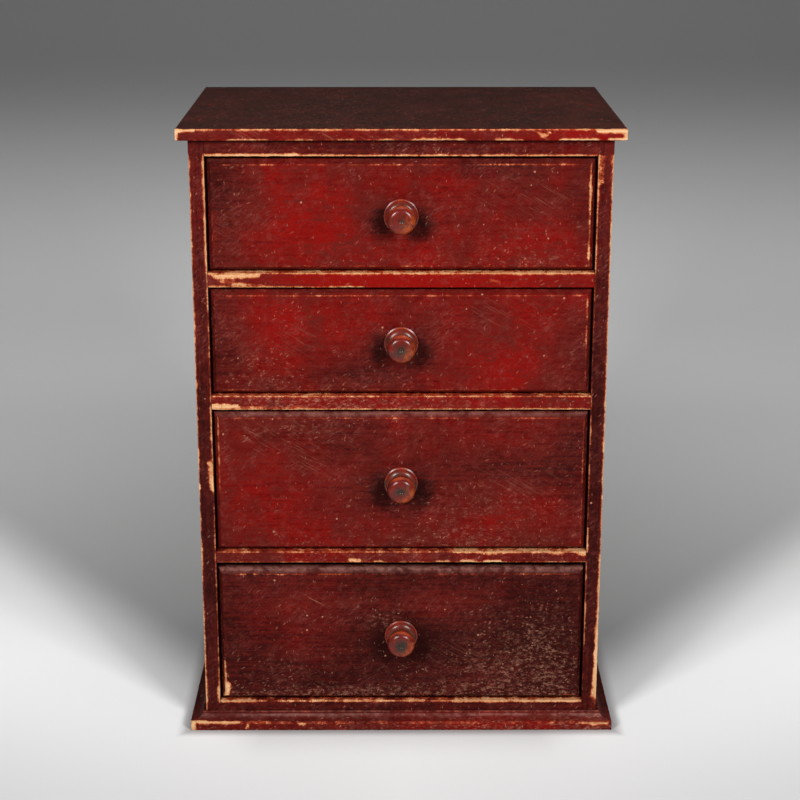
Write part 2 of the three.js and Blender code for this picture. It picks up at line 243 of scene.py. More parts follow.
class Paint:
    """A material and the few ways its nodes are added."""

    def __init__(self, name):
        self.material = bpy.data.materials.new(name)
        self.material.use_nodes = True
        self.tree = self.material.node_tree
        self.tree.nodes.clear()
        self.place = self.node("ShaderNodeTexCoord", output="Object")

    def node(self, kind, settings=None, sockets=None, output=0):
        """Adds a node: its settings first, then the values or links of its sockets."""
        made = self.tree.nodes.new(kind)
        for name, value in (settings or {}).items():
            setattr(made, name, value)
        for name, value in (sockets or {}).items():
            if isinstance(value, Wire):
                self.tree.links.new(value.socket, made.inputs[name])
            else:
                made.inputs[name].default_value = value
        return Wire(self, made.outputs[output]) if made.outputs else None

    def math(self, operation, *values):
        return self.node("ShaderNodeMath", {"operation": operation}, dict(enumerate(values)))

    def larger(self, a, b):
        return self.math("MAXIMUM", a, b)

    def attribute(self, name):
        return self.node("ShaderNodeAttribute", {"attribute_name": name}, output="Fac")

    def step(self, value, low, high):
        """A smooth step from nothing at low to all at high."""
        return self.node(
            "ShaderNodeMapRange",
            {"interpolation_type": "SMOOTHSTEP"},
            {"Value": value, "From Min": low, "From Max": high},
        )

    def blend(self, factor, a, b, how="MIX"):
        """Colour a turned into colour b by the factor."""
        ends = [end if isinstance(end, Wire) else (*end, 1) for end in (a, b)]
        return self.node(
            "ShaderNodeMix",
            {"data_type": "RGBA", "blend_type": how},
            {0: factor, 6: ends[0], 7: ends[1]},
            output=2,
        )

    def spread(self, sizes, shift=0.0, source=None):
        """The place measured in the given sizes, one for each axis."""
        scale = [1 / size for size in sizes]
        sockets = {"Vector": source or self.place, "Location": (shift,) * 3, "Scale": scale}
        return self.node("ShaderNodeMapping", {}, sockets)

    def turned(self, degrees):
        """The place turned about the Y axis."""
        turn = (0, math.radians(degrees), 0)
        return self.node("ShaderNodeMapping", {}, {"Vector": self.place, "Rotation": turn})

    def noise(self, sizes, detail=3.0, roughness=0.55, shift=0.0, source=None, output=0):
        """Cloudy noise with blots of the given size, one size or three."""
        if not isinstance(sizes, tuple):
            sizes = (sizes,) * 3
        sockets = {"Scale": 1.0, "Detail": detail, "Roughness": roughness}
        sockets["Vector"] = self.spread(sizes, shift, source)
        return self.node("ShaderNodeTexNoise", {}, sockets, output)

    def flecks(self, cell, amount, radius, shift=0.0, source=None):
        """Separate small spots, at most one in each cell. The amount is the share of cells with one."""
        cells = self.spread(cell, shift, source)
        near = self.node("ShaderNodeTexVoronoi", {}, {"Vector": cells, "Scale": 1.0}, "Distance")
        cell_colour = Wire(self, near.socket.node.outputs["Color"])
        chance = self.node("ShaderNodeSeparateXYZ", {}, {0: cell_colour})
        strength = Wire(self, chance.socket.node.outputs["Y"])
        present = self.step(chance, 1 - amount, 1 - amount * 0.2)
        return self.step(present * radius - near, 0.0, radius * 0.4) * (strength * 0.85 + 0.15)

    def finish(self, base, roughness, height, depth, specular=0.5, coat=0.0):
        """Joins the colour, the roughness and the relief into the surface."""
        relief = self.node(
            "ShaderNodeBump", {}, {"Strength": 1.0, "Distance": depth, "Height": height}
        )
        skin = self.node(
            "ShaderNodeBsdfPrincipled",
            {},
            {
                "Base Color": base,
                "Roughness": roughness,
                "Normal": relief,
                "Specular IOR Level": specular,
                "Coat Weight": coat,
                "Coat Roughness": 0.24,
            },
        )
        self.node("ShaderNodeOutputMaterial", {}, {"Surface": skin})
        return self.material


def along(axis, long, across):
    """Three sizes: long on the grain's axis and across on the other two."""
    return tuple(long if index == "xyz".index(axis) else across for index in range(3))


# ---------------------------------------------------------------- materials


def lacquer(name, grain, clean, body, dullness=0.34, specular=0.03):
    """Worn varnish over stained wood, following the mesh's rub, tone, specks, scores, dirt and painted
    sheen.
    """
    hues = bpy.context.scene.chest_colours
    paint = Paint(name)
    rub = paint.attribute("rub")
    tone = paint.attribute("tone")
    specks = paint.attribute("specks")
    dust_and_sheen = paint.attribute("dust_and_sheen")

    broad = paint.noise(0.05, 2.0, 0.5)
    cloud = paint.noise(0.017, 4.0, 0.62, shift=3.1)
    ragged = paint.noise(0.0045, 3.0, 0.6, shift=7.7)
    grit = paint.noise(0.0011, 2.0, 0.6, shift=1.9)
    streak = paint.noise(along(grain, 0.05, 0.0016), 3.0, 0.62, shift=5.3)
    mottle = paint.noise(along(grain, 0.0058, 0.0021), 4.0, 0.7, shift=2.9)
    rising = paint.noise((0.0052, 0.004, 0.0013), 2.0, 0.6, 1.4, paint.turned(33))
    falling = paint.noise((0.0011, 0.004, 0.0046), 2.0, 0.6, 6.4, paint.turned(-38))
    hatching = paint.larger(paint.step(rising, 0.52, 0.74), paint.step(falling, 0.54, 0.76))
    long_scores = paint.noise((0.022, 0.004, 0.0008), 2.0, 0.6, 3.3, paint.turned(-30))
    scores = paint.step(long_scores, 0.58, 0.7) * paint.attribute("scored")

    redness = broad * 0.5 + cloud * 0.5 + (streak - 0.5) * 0.5 + (mottle - 0.5) * 0.9 + tone * 0.16
    base = paint.blend(paint.step(redness, 0.36, 0.7), body, clean)
    dirt = paint.step(mottle * 0.6 + grit * 0.3 + streak * 0.4 - tone * 0.08, 0.56, 0.8)
    base = paint.blend(dirt * (0.74 - tone * 0.4), base, hues.shade)
    milky = paint.step(ragged * 0.5 + mottle * 0.35 + grit * 0.4, 0.64, 0.77)
    base = paint.blend(milky * 0.3, base, hues.haze)
    bloom = paint.step(paint.noise(0.026, 4.0, 0.7, shift=11.3) - tone * 0.1, 0.44, 0.72)
    base = paint.blend((bloom * 0.85 + 0.07) * (hatching * 0.7 + 0.06), base, hues.haze)
    # Negative tone turns the lacquer to shade; it carries the painted shade at the foot and the painted
    # knob shadows as well as browner patches.
    base = paint.blend(paint.step(0 - tone, 0.0, 1.7), base, hues.shade)
    # Grey dirt on up-facing ledges and chamfers, which also stands for painted sheen there.
    settled = paint.step(cloud + ragged * 0.7 + streak * 0.5, 0.94, 1.26) * 0.85 + 0.15
    base = paint.blend(dust_and_sheen * settled, base, hues.dust_and_sheen)

    wander = paint.node(
        "ShaderNodeVectorMath",
        {"operation": "MULTIPLY_ADD"},
        {0: paint.noise(0.02, 2.0, output=1), 1: (0.006,) * 3, 2: paint.place},
    )
    spots = paint.flecks((0.011,) * 3, 0.45, 0.08)
    ticks = paint.flecks((0.0092, 0.004, 0.0022), 0.3, 0.22, 4.2, paint.turned(24))
    nicks = paint.flecks((0.0022, 0.004, 0.0076), 0.28, 0.22, 9.4, paint.turned(-38))
    stabs = paint.flecks((0.0017, 0.004, 0.0046), 0.26, 0.25, 14.4, paint.turned(10))
    dashes = paint.flecks((0.0034, 0.0019, 0.0017), 0.62, 0.34, 2.6, wander)
    crumbs = paint.step(paint.noise((0.0032, 0.0015, 0.0016), 3.0, 0.75, 12.4), 0.47, 0.72)
    marks = paint.larger(paint.larger(ticks, nicks), stabs)
    marks = marks * (paint.step(cloud + ragged * 0.6, 0.6, 0.96) * 0.65 + specks * 0.5)
    marks = paint.larger(marks, scores * 0.55)
    marks = paint.larger(marks, dashes * paint.step(specks + (cloud - 0.5) * 1.6, 0.15, 1.0))
    marks = paint.larger(marks, crumbs * paint.step(specks + (ragged - 0.5) * 1.2, 0.4, 1.15) * 0.7)
    base = paint.blend(paint.larger(marks * 0.7, spots), base, hues.scuff)

    worn = rub - 0.3 + (ragged - 0.5) * 2.6 + (cloud - 0.5) * 2.0 + (grit - 0.5) * 1.3
    base = paint.blend(paint.step(worn, -0.75, 0.1) * 0.75, base, hues.thin)
    wood = paint.step(worn, -0.08, 0.25)
    base = paint.blend(wood, base, hues.bare)
    clean_wood = paint.step(worn + (streak - 0.5) * 1.8 + (grit - 0.5), 0.3, 1.0)
    base = paint.blend(clean_wood * (paint.step(streak, 0.42, 0.62) * 0.5 + 0.5), base, hues.cream)

    roughness = dullness + cloud * 0.12 + wood * 0.32 + marks * 0.15
    height = streak * 0.25 + grit * 0.12 - wood * 0.7 - marks * 0.35
    return paint.finish(base, roughness, height, BOARD_RELIEF, specular)


def knob_varnish(name):
    """Glossier varnish on turned wood: dark in the hollows, worn on the rims and thin at one side."""
    hues = bpy.context.scene.chest_colours
    paint = Paint(name)
    rub = paint.attribute("rub")
    tone = paint.attribute("tone")
    polish = paint.attribute("polish")
    glow = paint.attribute("glow")
    cloud = paint.noise(0.006, 4.0, 0.6)
    grit = paint.noise(0.0012, 3.0, 0.6, shift=4.4)
    blots = paint.noise(0.0034, 3.0, 0.65, shift=9.2)
    streak = paint.noise(along("z", 0.012, 0.0009), 3.0, 0.6, shift=2.2)
    base = paint.blend(paint.step(cloud + tone * 0.25, 0.3, 0.68), hues.knob_dark, hues.knob)
    base = paint.blend(paint.step(blots + glow * 0.3, 0.5, 0.86) * glow, base, hues.knob_glow)
    base = paint.blend(paint.step(streak, 0.48, 0.74) * 0.45, base, hues.knob_dark)
    base = paint.blend((1 - polish) * (blots * 0.5 - 0.15), base, hues.thin)
    base = paint.blend(paint.step((blots - 0.5) * 1.2 - tone, 0.1, 1.0), base, hues.knob_dark)
    spots = paint.flecks((0.0032,) * 3, 0.4, 0.14, 1.0)
    base = paint.blend(spots * 0.7, base, hues.scuff)
    worn = rub + (cloud - 0.5) * 1.8 + (grit - 0.5) * 0.8
    base = paint.blend(paint.step(worn, -0.6, 0.5) * 0.85, base, hues.thin)
    wood = paint.step(worn, 0.35, 1.0)
    base = paint.blend(wood * 0.75, base, hues.bare)
    roughness = 0.22 - polish * 0.02 + grit * 0.12 + wood * 0.2
    height = streak * 0.3 + grit * 0.2 - spots * 0.4
    return paint.finish(base, roughness, height, KNOB_RELIEF, specular=0.26, coat=0.08)


def pine(name, grain, ageing=0.3):
    """Bare planed pine with growth lines along the grain, darkened by age and handling."""
    hues = bpy.context.scene.chest_colours
    paint = Paint(name)
    sway = paint.noise(along(grain, 0.16, 0.016), 2.0, 0.45)
    lines = paint.math("PINGPONG", sway * 13, 1.0)
    fibre = paint.noise(along(grain, 0.03, 0.0007), 3.0, 0.65, shift=3.7)
    cloud = paint.noise(0.035, 4.0, 0.6, shift=8.1)
    late = paint.step(lines + (fibre - 0.5) * 0.5, 0.55, 0.95)
    base = paint.blend(late * 0.55 + (fibre - 0.5) * 0.5, hues.pine, hues.pine_dark)
    base = paint.blend(paint.step(cloud, 0.35, 0.8) * ageing, base, hues.pine_dark, "MULTIPLY")
    spots = paint.flecks((0.021,) * 3, 0.25, 0.06, 6.0)
    base = paint.blend(spots * 0.6, base, hues.pine_dark)
    stain = paint.step(paint.noise(0.06, 3.0, 0.6, shift=14.2), 0.55, 0.7)
    base = paint.blend(stain * ageing * 0.25, base, hues.pine_dark)
    roughness = 0.58 + fibre * 0.2
    height = fibre * 0.5 - late * 0.3 - spots
    return paint.finish(base, roughness, height, BOARD_RELIEF, specular=0.3)


def nail_iron(name):
    """Dark rusted iron with a little old filler over it."""
    hues = bpy.context.scene.chest_colours
    paint = Paint(name)
    crust = paint.noise(0.0007, 3.0, 0.7)
    rust = paint.step(crust, 0.5, 0.7)
    base = paint.blend(rust * 0.6, hues.iron, hues.pine_dark)
    return paint.finish(base, 0.55 + crust * 0.3, crust, IRON_RELIEF, specular=0.4)


def material(name, make, *details):
    """The named material, made the first time it is asked for."""
    return bpy.data.materials.get(name) or make(name, *details)


def red_lacquer(grain):
    hues = bpy.context.scene.chest_colours
    return material(f"worn_red_lacquer_{grain}", lacquer, grain, hues.red, hues.brown)


def bare_pine(grain, ageing=0.3):
    age = "aged" if ageing > 0.5 else "clean"
    return material(f"{age}_pine_{grain}", pine, grain, ageing)


# ---------------------------------------------------------------- wear

# Where the lacquer is rubbed through on each board's front: the two ends of a stroke, across and up,
# and its half width, all in millimetres from the middle of the chest's foot.
RUBBED = {
    "top_board": [
        (-147.6, 429.8, 147.6, 429.8, 0.85),
        (-147.6, 423, -147.2, 430, 2.2),
        (-146, 429.2, -136, 429.4, 1.5),
        (-112, 422.4, -88, 422.4, 1.3),
        (-74, 422.2, -58, 422.2, 0.9),
        (-40, 422.4, -32, 422.4, 1.2),
        (-14, 422.3, -6, 422.3, 1.4),
        (9, 422.4, 40, 422.4, 1.5),
        (62, 422.4, 72, 422.4, 1.3),
        (88, 428.4, 93, 425.4, 0.9),
        (92, 425.2, 97, 427.6, 1.2),
        (104, 422.4, 128, 422.4, 1.5),
        (128, 429.2, 147.6, 429.2, 2.1),
        (136, 423.2, 147, 423, 1.2),
        (147.2, 422.5, 147.4, 430, 2.2),
    ],
    "top_rail": [(-129, 411.2, -67, 411.4, 1.5), (-67, 411.2, 129, 411.2, 0.95)],
    "side_left": [
        (-129.5, 411, -129.6, 333, 1.35),
        (-129.5, 333, -129.5, 19, 0.7),
        (-129.6, 238, -129.5, 205, 1.2),
        (-131.6, 198, -130.4, 179, 1.9),
        (-129.5, 28, -129.5, 18, 1.9),
        (-140, 411, -140, 150, 1.0),
        (-140, 150, -139.6, 11, 1.0),
    ],
    "side_right": [
        (129.5, 411, 129.5, 390, 1.4),
        (129.5, 390, 129.5, 333, 0.95),
        (129.5, 333, 129.5, 236, 0.35),
        (129.5, 236, 129.5, 152, 0.6),
        (129.5, 150, 129.5, 133, 1.5),
        (129.5, 124, 129.5, 62, 0.8),
        (134.5, 411, 133.5, 393, 0.9),
        (140, 411, 140, 200, 1.15),
        (140, 200, 140, 130, 1.2),
        (140, 130, 139.8, 75, 1.7),
        (139.8, 75, 139.2, 38, 2.3),
        (139.2, 38, 138.2, 22, 2.5),
        (138.2, 22, 137.6, 11, 1.2),
    ],
    "divider_rail_1": [
        (-129.5, 332.4, 129.5, 332.4, 1.05),
        (-124, 330.2, -96, 331, 2.1),
        (-121, 326.2, -92, 323.4, 0.85),
        (-129.5, 322.6, -25, 322.6, 0.85),
        (60, 327.5, 66, 326, 0.7),
    ],
    "divider_rail_2": [
        (-129.5, 246.4, 129.5, 246.4, 0.6),
        (-129.5, 236.7, 129.5, 236.7, 1.0),
        (-129, 239.6, -112, 239.2, 1.9),
        (-112, 238.8, -66, 238.4, 0.5),
    ],
    "divider_rail_3": [
        (-129.5, 132.7, 36, 132.7, 0.55),
        (38, 132.6, 129.5, 132.6, 1.2),
        (58, 131.6, 66, 131.6, 1.5),
        (106, 131.6, 113, 131.6, 1.6),
        (125, 131.4, 129, 131.4, 1.9),
        (-129.5, 124.7, 129.5, 124.7, 0.45),
        (-36, 126.2, -29, 126.2, 1.6),
        (-19, 125.2, -14, 125.2, 1.3),
        (25, 125.2, 33, 125.2, 1.3),
        (43, 125.2, 49.5, 125.4, 1.6),
        (59, 125.2, 69, 125.3, 1.7),
    ],
    "bottom_rail": [
        (-130, 18.2, -105, 18.2, 1.5),
        (-105, 18.2, 39, 18.2, 0.75),
        (39, 18.2, 129.5, 18.2, 1.4),
    ],
    "base_moulding_front": [
        (-147, 5.9, 147, 5.9, 0.45),
        (-149.4, 2, -148.6, 10, 3.1),
        (-146, 8, -140, 6.8, 2.0),
        (-142, 6.4, -117, 6.2, 1.6),
        (-110.5, 1.6, -109.5, 3.6, 1.3),
        (-72, 5.2, -69, 5, 1.4),
        (126.5, 5.6, 147, 5.4, 0.95),
        (136, 4.2, 147, 4.0, 0.6),
    ],
    "base_moulding_left": [(-149.9, 2, -149.9, 9, 2.2)],
    "drawer_1_front": [
        (-120, 405.2, 120, 405.2, 0.0),
        (60, 405.4, 115, 405.4, 0.25),
        (125.2, 405, 125.2, 342, 0.75),
        (-125, 337, 125, 337, -0.1),
    ],
    "drawer_2_front": [
        (-120, 316.8, 120, 316.8, 0.1),
        (125.2, 316, 125.2, 256, 0.2),
        (-125, 250.8, 125, 250.8, -0.1),
    ],
    "drawer_3_front": [
        (-125.7, 233, -125.9, 180, 0.8),
        (-120, 230.6, 120, 230.6, 0.0),
        (125.2, 229, 125.2, 140, 0.1),
    ],
    "drawer_4_front": [
        (-125.4, 23, -124.2, 31, 2.6),
        (-125.8, 31, -126, 50, 1.2),
        (-127, 118, -120, 119, 0.5),
        (-120, 115.8, 120, 115.8, 0.0),
    ],
}

# Broad changes of tone on the fronts: centre across and up, reach across and up, in millimetres, and
# how much redder, or with a minus sign browner, the lacquer is there. The dark pair about 13 mm to
# each side of a knob is the knob's painted shadow.
TONES = {
    "top_board": [(120, 426, 25, 10, 0.4)],
    "top_rail": [(0, 417, 200, 20, -0.45)],
    "divider_rail_1": [(-30, 329, 45, 20, 1.5), (20, 329, 120, 20, 0.7), (-110, 329, 30, 20, -0.3)],
    "divider_rail_2": [(0, 242, 140, 20, 0.5)],
    "divider_rail_3": [(-40, 130, 90, 20, 0.3)],
    "bottom_rail": [(0, 12, 200, 20, -0.3)],
    "base_moulding_front": [(75, 10, 45, 20, 0.8), (0, 5, 150, 20, 0.3)],
    "side_left": [(-135, 300, 20, 300, -0.45), (-135, 120, 20, 120, -0.4)],
    "side_right": [(135, 300, 20, 300, -0.5), (135, 150, 20, 150, -0.3)],
    "drawer_1_front": [
        (-122, 390, 26, 40, -0.75),
        (-40, 352, 55, 16, 0.6),
        (100, 350, 40, 16, 0.6),
        (-75, 380, 50, 22, 0.35),
        (70, 404, 40, 8, -0.5),
        (124, 372, 14, 40, -0.5),
        (0, 360, 26, 14, -0.5),
        # Painted shadows of the knob, one each side.
        (-13, 368, 8, 10, -1.2),
        (13, 366, 8, 10, -0.9),
    ],
    "drawer_2_front": [
        (-125, 285, 18, 40, -0.5),
        (-75, 300, 45, 22, 0.45),
        (75, 265, 35, 20, 0.5),
        (95, 300, 40, 30, 0.3),
        (-20, 262, 40, 12, -0.4),
        # Painted shadows of the knob, one each side.
        (-13, 281, 8, 10, -1.2),
        (13, 279, 9, 11, -1.0),
        (120, 270, 25, 35, -0.4),
    ],
    "drawer_3_front": [
        (-100, 195, 35, 35, 0.25),
        (-70, 150, 60, 14, 0.3),
        (60, 160, 60, 22, 0.4),
        (-40, 215, 60, 18, -0.25),
        (70, 195, 50, 10, -0.35),
        (118, 200, 16, 40, -0.4),
        (0, 168, 28, 14, -0.5),
        # Painted shadows of the knob, one each side.
        (-13, 181, 8, 10, -1.2),
        (13, 179, 9, 11, -1.0),
    ],
    "drawer_4_front": [
        (0, 70, 200, 90, -0.68),
        (108, 58, 36, 60, -0.4),
        (-60, 92, 50, 24, 0.6),
        (30, 95, 35, 16, 0.6),
        (-55, 58, 40, 16, 0.35),
        (60, 40, 60, 16, 0.2),
        (0, 60, 30, 18, -0.3),
        # Painted shadows of the knob, one each side.
        (-13, 66, 8, 10, -0.8),
        (14, 65, 9, 10, -1.0),
    ],
}

# How thickly fine specks lie, as centre, reach and amount in the same way.
SPECKS = {
    "drawer_1_front": [(0, 340, 160, 8, 0.3), (80, 345, 60, 20, 0.3)],
    "drawer_2_front": [(0, 255, 160, 10, 0.35), (-98, 268, 38, 18, 0.4), (-70, 300, 40, 12, 0.2)],
    "drawer_3_front": [(60, 165, 70, 30, 0.5), (-70, 224, 60, 11, 0.6), (0, 140, 160, 10, 0.35)],
    "drawer_4_front": [
        (0, 20, 230, 9, 1.1),
        (0, 40, 160, 18, 0.3),
        (70, 58, 50, 38, 0.45),
        (108, 62, 32, 52, 0.45),
        (-10, 82, 18, 12, 0.7),
        (-85, 50, 30, 14, 0.3),
    ],
    "divider_rail_2": [(0, 242, 200, 20, 0.5), (-60, 242, 70, 20, 0.45)],
    "divider_rail_3": [(0, 130, 200, 20, 0.5)],
    "top_board": [(0, 430, 300, 20, 0.3)],
    "top_rail": [(0, 417, 200, 20, 0.4)],
    "bottom_rail": [(0, 12, 200, 20, 0.3)],
    "base_moulding_front": [(0, 5, 200, 20, 0.55), (130, 5, 24, 20, 0.8), (60, 5, 30, 20, 0.3)],
}

# Where long slanting scores cross the lacquer, in the same way.
SCORED = {
    "drawer_1_front": [(80, 385, 26, 14, 0.5), (-112, 365, 12, 16, 0.4)],
    "drawer_2_front": [(-72, 287, 14, 14, 0.35), (70, 300, 30, 12, 0.35)],
    "drawer_3_front": [(-92, 216, 24, 11, 1.0), (-48, 200, 22, 12, 0.5), (80, 180, 30, 20, 0.35)],
    "drawer_4_front": [(-62, 96, 12, 8, 0.7), (40, 50, 40, 20, 0.3)],
    "top_board": [(-50, 430, 60, 20, 0.7)],
}

# How much grey dirt lies on the faces that look up, with painted sheen where chamfers and ledges
# catch the light, and how many millimetres below the piece's top it is thickest.
DUST_AND_SHEEN = {
    "drawer_1_front": (0.1, 0.9),
    "drawer_2_front": (0.08, 0.9),
    "drawer_3_front": (1.1, 0.9),
    "drawer_4_front": (1.5, 0.9),
    "base_moulding_front": (2.8, 1.4),
    "base_moulding_left": (0.3, 1.4),
    "base_moulding_right": (0.3, 1.4),
}

# How far above and below that line the dirt and painted sheen spread.
SETTLED = 1.3 * MM


def reach_of(points, start, end):
    """Distance of each point from a stroke."""
    span = np.array(end) - np.array(start)
    along_stroke = ((points - start) @ span / max(span @ span, WELD * WELD)).clip(0, 1)
    return np.linalg.norm(points - start - along_stroke[:, None] * span, axis=1)


def patches(points, spots):
    """The sum of soft patches at each point."""
    total = np.zeros(len(points))
    for x, z, wide, tall, amount in spots:
        across = (points[:, 0] / MM - x) / wide
        up = (points[:, 2] / MM - z) / tall
        total += amount * np.exp(-across * across - up * up)
    return total


def wear_layers(bm, arrises, edge_wear, front, node):
    """The wear at every point: millimetres inside a rubbed place, tone, specks, scores, dirt and
    painted sheen.
    """
    points = np.array([vert.co for vert in bm.verts])
    bm.normal_update()
    upward = np.array([vert.normal.z for vert in bm.verts]).clip(0, 1)
    rub = np.full(len(points), -6.0)
    for start, end in arrises:
        rub = np.maximum(rub, edge_wear - reach_of(points, start, end) / MM)
    for x0, z0, x1, z1, half in RUBBED.get(node, []):
        start = (x0 * MM, front, z0 * MM)
        end = (x1 * MM, front, z1 * MM)
        rub = np.maximum(rub, half - reach_of(points, start, end) / MM)
    fade = TOP_FADE if node == "top_board" else FADE
    facing = np.exp(-np.maximum(points[:, 1] - front, 0) / fade)
    height = (points[:, 2] - CASE_FOOT) / (CASE_HEAD - CASE_FOOT)
    # Painted shade: the tone falls towards the foot of the chest, and is also lowered on faces set back
    # behind the front.
    foot_shade = -0.35 * (1 - height) ** 2 - 0.5 * (1 - facing)
    tone = foot_shade + patches(points, TONES.get(node, [])) * facing
    specks = 0.12 + patches(points, SPECKS.get(node, [])) * facing
    scored = patches(points, SCORED.get(node, [])) * facing
    # Grey dirt on faces that look up, with painted sheen on the chamfers and the moulding's ledge.
    amount, below = DUST_AND_SHEEN.get(node, (0, 0))
    ledge = points[:, 2].max() - below * MM
    settled = np.exp(-(((points[:, 2] - ledge) / SETTLED) ** 2))
    dust_and_sheen = amount * upward**2 * facing * settled
    return {
        "rub": rub,
        "tone": tone,
        "specks": specks.clip(0, 1),
        "scored": scored.clip(0, 1),
        "dust_and_sheen": dust_and_sheen,
    }


# ---------------------------------------------------------------- boards


def merged(node):
    """A frame node as a clean bmesh, its loose triangles joined and its flat faces made whole."""
    bm = bmesh.new()
    bm.from_mesh(frame["nodes"][node].data)
    bmesh.ops.remove_doubles(bm, verts=bm.verts, dist=WELD)
    bmesh.ops.dissolve_limit(
        bm, angle_limit=FLAT, verts=bm.verts, edges=bm.edges, use_dissolve_boundaries=False
    )
    return bm


def sharp_edges(bm, shortest):
    """Outer corners of a board that are long enough to be worked."""
    return [
        edge
        for edge in bm.edges
        if edge.is_manifold
        and edge.is_convex
        and edge.calc_face_angle(0) > SHARP
        and edge.calc_length() > shortest
    ]


def on_two_faces(edge, low, high):
    """Whether an edge lies in two faces of the box between low and high."""
    planes = 0
    for axis in range(3):
        for plane in (low[axis], high[axis]):
            planes += all(abs(vert.co[axis] - plane) < 2 * WELD for vert in edge.verts)
    return planes >= 2


def ease(bm, edges, amount, segments=2):
    """Rounds the chosen arrises and returns where they ran."""
    runs = [tuple(tuple(vert.co) for vert in edge.verts) for edge in edges]
    bmesh.ops.bevel(
        bm,
        geom=edges,
        offset=amount,
        offset_type="OFFSET",
        segments=segments,
        profile=0.5,
        affect="EDGES",
        clamp_overlap=True,
        material=-1,
    )
    return runs


def cut_across(bm, axis, places):
    """Cuts the mesh with planes square to one axis."""
    normal = Vector((axis == 0, axis == 1, axis == 2))
    for place in places:
        bmesh.ops.bisect_plane(
            bm,
            geom=bm.verts[:] + bm.edges[:] + bm.faces[:],
            dist=WELD,
            plane_co=normal * place,
            plane_no=normal,
        )


def cut_grid(bm, low, high, steps, strip):
    """Cuts a board into small faces, with a narrow strip beside its arrises."""
    for axis, step in enumerate(steps):
        size = high[axis] - low[axis]
        if not step or size < 3 * strip:
            continue
        inner = size - 2 * strip
        count = max(1, round(inner / step))
        cut_across(bm, axis, [low[axis] + strip + inner * i / count for i in range(count + 1)])


def wear_down(bm, rub, seed):
    """Pushes rubbed arrises in and lets broad faces wander, always towards the wood."""
    sizes = bpy.context.scene.chest_sizes
    bm.normal_update()
    moves = []
    for vert, inside in zip(bm.verts, rub):
        place = vert.co + Vector((seed, seed, seed))
        wander = 0.5 + 0.5 * noise.noise(place * 28)
        nibble = 0.5 + 0.5 * noise.noise(place * 420) + 0.35 * noise.noise(place * 130)
        worn = min(max(inside + 0.5, 0), 1.2) * max(nibble, 0)
        moves.append(vert.normal * -(worn * sizes.dent + wander * sizes.unevenness))
    for vert, move in zip(bm.verts, moves):
        vert.co += move


def write_layers(mesh, layers):
    for name, values in layers.items():
        layer = mesh.attributes.new(name, "FLOAT", "POINT")
        layer.data.foreach_set("value", np.array(values, dtype=np.float32))


def keep(bm, node, finish, layers=None):
    """Makes the finished mesh into the piece that stands for a frame node."""
    for face in bm.faces:
        face.smooth = True
    for edge in bm.edges:
        edge.smooth = edge.calc_face_angle(0) < SMOOTH_UP_TO
    mesh = bpy.data.meshes.new(f"{node}_worked")
    bm.to_mesh(mesh)
    bm.free()
    write_layers(mesh, layers or {})
    mesh.materials.append(finish)
    piece = bpy.data.objects.new(f"{node}_worked", mesh)
    bpy.context.scene.collection.objects.link(piece)
    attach(piece, BODY_OF[node])
    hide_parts(node)
    return piece


def close_joints(bm, shoulder):
    """Draws a rail's two ends up tight to the sides."""
    for vert in bm.verts:
        if abs(vert.co.x) > shoulder:
            vert.co.x += math.copysign(GLUE_LINE, vert.co.x)


def lacquered_board(node, finish, steps, wear, choose, extra_cuts=(), shoulder=None):
    """A lacquered board: eased, cut up, measured for wear and worn down.

    Wear is how many millimetres an arris is rubbed to each side, choose tells which edges are
    arrises, and extra_cuts are pairs of an axis and the places cut along it.
    """
    sizes = bpy.context.scene.chest_sizes
    low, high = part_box(node)
    bm = merged(node)
    if shoulder:
        close_joints(bm, shoulder)
    runs = ease(bm, [edge for edge in sharp_edges(bm, SHORT_EDGE) if choose(edge)], sizes.arris)
    cut_grid(bm, low, high, steps, sizes.edge_strip)
    for axis, places in extra_cuts:
        cut_across(bm, axis, places)
    layers = wear_layers(bm, runs, wear, low.y, node)
    wear_down(bm, layers["rub"], seed=len(node))
    return keep(bm, node, finish, layers)


def bare_board(node, finish):
    """A plain board inside the chest, with its long corners just broken."""
    sizes = bpy.context.scene.chest_sizes
    low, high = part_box(node)
    bm = merged(node)
    chosen = [edge for edge in sharp_edges(bm, SHORT_PINE_EDGE) if on_two_faces(edge, low, high)]
    ease(bm, chosen, sizes.pine_arris, segments=1)
    return keep(bm, node, finish)


def grain_of(node):
    """The axis of a board's longest side, which its grain follows."""
    low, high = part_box(node)
    spans = [high[axis] - low[axis] for axis in range(3)]
    return "xyz"[spans.index(max(spans))]


# ---------------------------------------------------------------- operators


class CHEST_OT_sides(bpy.types.Operator):
    """Works the two tall sides of the case"""

    bl_idname = "chest.sides"
    bl_label = "Case sides"

    def execute(self, context):
        sizes = context.scene.chest_sizes
        steps = (sizes.fine_step * 2, sizes.broad_step, sizes.fine_step)
        for node in ("side_left", "side_right"):
            low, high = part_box(node)
            lacquered_board(
                node,
                red_lacquer("z"),
                steps,
                wear=-0.05,
                choose=lambda edge: on_two_faces(edge, low, high),
            )
        return {"FINISHED"}


# How dull and how bright the top board's finish is.
TOP_ROUGHNESS = 0.5
TOP_SPECULAR = 0.05


